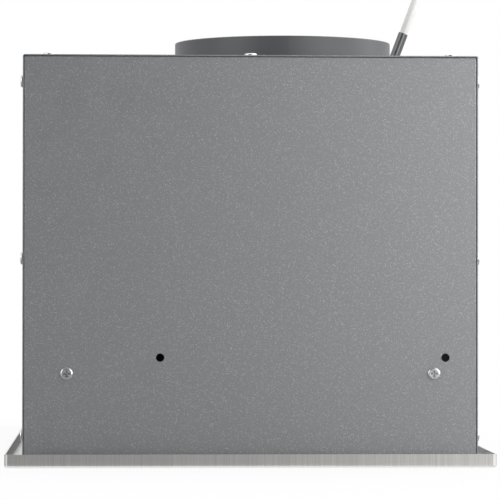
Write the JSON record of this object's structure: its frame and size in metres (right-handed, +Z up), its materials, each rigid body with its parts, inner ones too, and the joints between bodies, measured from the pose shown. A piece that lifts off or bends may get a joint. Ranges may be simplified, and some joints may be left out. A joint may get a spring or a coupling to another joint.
{
  "type": "built-in range hood",
  "caption": "Built-in range hood: grey case, shallow stainless tray, centrifugal fan, grease filters with sliding latches, push buttons, duct collar with damper flaps and a mains lead.",
  "frame": {"origin": "under the middle of the trim tray, on the plane of its underside", "axes": "+X along the hood's width to the end that the picture shows, -Y to the front where the switch and lamps are, +Z up to the duct collar"},
  "size_m": [0.521, 0.3, 0.336],
  "materials": {
    "case_paint": "satin metallic powder coat",
    "case_screw": "bright zinc",
    "tray_steel": "brushed lengthwise",
    "bracket_steel": "zinc plated",
    "zinc_fixing": "bright zinc",
    "collar_plastic": "dark grey, fine grain",
    "flap_plastic": "dark grey",
    "fan_plastic": "grey",
    "guard_wire": "black enamel",
    "impeller_plastic": "black",
    "motor_lamination": "varnished sheet",
    "winding_copper": "varnished copper",
    "motor_casting": "die cast",
    "bearing_steel": "ground",
    "bush_rubber": "black",
    "capacitor_case": "white",
    "box_plastic": "dark grey",
    "terminal_plastic": "natural",
    "loom_sleeving": "white",
    "switch_plastic": "black",
    "button_plastic": "dark grey",
    "lamp_glass": "frosted",
    "lamp_casting": "cast",
    "filter_frame_metal": "anodised",
    "filter_mesh_metal": "expanded mesh",
    "latch_plastic": "grey",
    "lead_pvc": "white",
    "plug_pvc": "white",
    "tie_wire": "black",
    "pin_metal": "nickel plated"
  },
  "bodies": {
    "hood": {"case_wrapper": "case_paint", "end_plate_left": "case_paint", "end_plate_right": "case_paint", "trim_tray": "tray_steel", "tray_bracket_left": "bracket_steel", "tray_bracket_right": "bracket_steel", "case_screws": "case_screw", "bracket_screws": "zinc_fixing", "bracket_washers": "zinc_fixing", "bracket_nuts": "zinc_fixing", "duct_collar": "collar_plastic", "collar_screws": "zinc_fixing", "fan_housing_left": "fan_plastic", "fan_housing_right": "fan_plastic", "housing_screws": "zinc_fixing", "inlet_guard": "guard_wire", "motor_spider": "bracket_steel", "motor_bushes": "bush_rubber", "spider_screws": "zinc_fixing", "stator_stack": "motor_lamination", "stator_winding": "winding_copper", "motor_shield_outer": "motor_casting", "motor_shield_inner": "motor_casting", "motor_bolts": "zinc_fixing", "motor_bearings": "bearing_steel", "run_capacitor": "capacitor_case", "control_box": "box_plastic", "control_box_cover": "box_plastic", "terminal_block": "terminal_plastic", "cord_clamp": "box_plastic", "wiring_loom": "loom_sleeving", "switch_bezel": "switch_plastic", "switch_body": "switch_plastic", "lamp_lens_left": "lamp_glass", "lamp_lens_right": "lamp_glass", "lamp_body_left": "lamp_casting", "lamp_body_right": "lamp_casting", "cord_sleeve": "collar_plastic", "mains_cord": "lead_pvc", "cord_coil": "lead_pvc", "cord_tie": "tie_wire", "mains_plug": "plug_pvc", "plug_pins": "pin_metal"},
    "rotor": {"rotor_core": "motor_lamination", "motor_shaft": "bearing_steel", "impeller": "impeller_plastic", "impeller_nut": "zinc_fixing"},
    "flap_front": {"damper_flap_front": "flap_plastic"},
    "flap_rear": {"damper_flap_rear": "flap_plastic"},
    "filter_left": {"filter_frame_left": "filter_frame_metal", "filter_mesh_left": "filter_mesh_metal"},
    "filter_right": {"filter_frame_right": "filter_frame_metal", "filter_mesh_right": "filter_mesh_metal"},
    "latch_left": {"filter_latch_left": "latch_plastic"},
    "latch_right": {"filter_latch_right": "latch_plastic"},
    "button_1": {"push_button_1": "button_plastic"},
    "button_2": {"push_button_2": "button_plastic"},
    "button_3": {"push_button_3": "button_plastic"},
    "button_4": {"push_button_4": "button_plastic"},
    "button_5": {"push_button_5": "button_plastic"}
  },
  "joints": [
    {"name": "impeller_spin", "type": "hinge", "parent": "hood", "child": "rotor", "pos_m": [0, -0.022, 0.134], "axis": [1, 0, 0], "continuous": true},
    {"name": "damper_rear_hinge", "type": "hinge", "parent": "hood", "child": "flap_rear", "pos_m": [0, 0.038, 0.2594], "axis": [1, 0, 0], "range_deg": [0, 75]},
    {"name": "damper_front_hinge", "type": "hinge", "parent": "hood", "child": "flap_front", "pos_m": [0, 0.028, 0.2594], "axis": [-1, 0, 0], "range_deg": [0, 75]},
    {"name": "filter_left_hinge", "type": "hinge", "parent": "hood", "child": "filter_left", "pos_m": [-0.117, 0.1208, 0.003], "axis": [1, 0, 0], "range_deg": [0, 75]},
    {"name": "filter_right_hinge", "type": "hinge", "parent": "hood", "child": "filter_right", "pos_m": [0.117, 0.1208, 0.003], "axis": [1, 0, 0], "range_deg": [0, 75]},
    {"name": "latch_left_slide", "type": "slide", "parent": "filter_left", "child": "latch_left", "axis": [0, -1, 0], "range_m": [0, 0.004], "stiffness_N_per_m": 300, "springref_m": 0.0045},
    {"name": "latch_right_slide", "type": "slide", "parent": "filter_right", "child": "latch_right", "axis": [0, -1, 0], "range_m": [0, 0.004], "stiffness_N_per_m": 300, "springref_m": 0.0045},
    {"name": "button_1_slide", "type": "slide", "parent": "hood", "child": "button_1", "axis": [0, 0, 1], "range_m": [0, 0.0025], "stiffness_N_per_m": 500, "springref_m": -0.001},
    {"name": "button_2_slide", "type": "slide", "parent": "hood", "child": "button_2", "axis": [0, 0, 1], "range_m": [0, 0.0025], "stiffness_N_per_m": 500, "springref_m": -0.001},
    {"name": "button_3_slide", "type": "slide", "parent": "hood", "child": "button_3", "axis": [0, 0, 1], "range_m": [0, 0.0025], "stiffness_N_per_m": 500, "springref_m": -0.001},
    {"name": "button_4_slide", "type": "slide", "parent": "hood", "child": "button_4", "axis": [0, 0, 1], "range_m": [0, 0.0025], "stiffness_N_per_m": 500, "springref_m": -0.001},
    {"name": "button_5_slide", "type": "slide", "parent": "hood", "child": "button_5", "axis": [0, 0, 1], "range_m": [0, 0.0025], "stiffness_N_per_m": 500, "springref_m": -0.001}
  ]
}
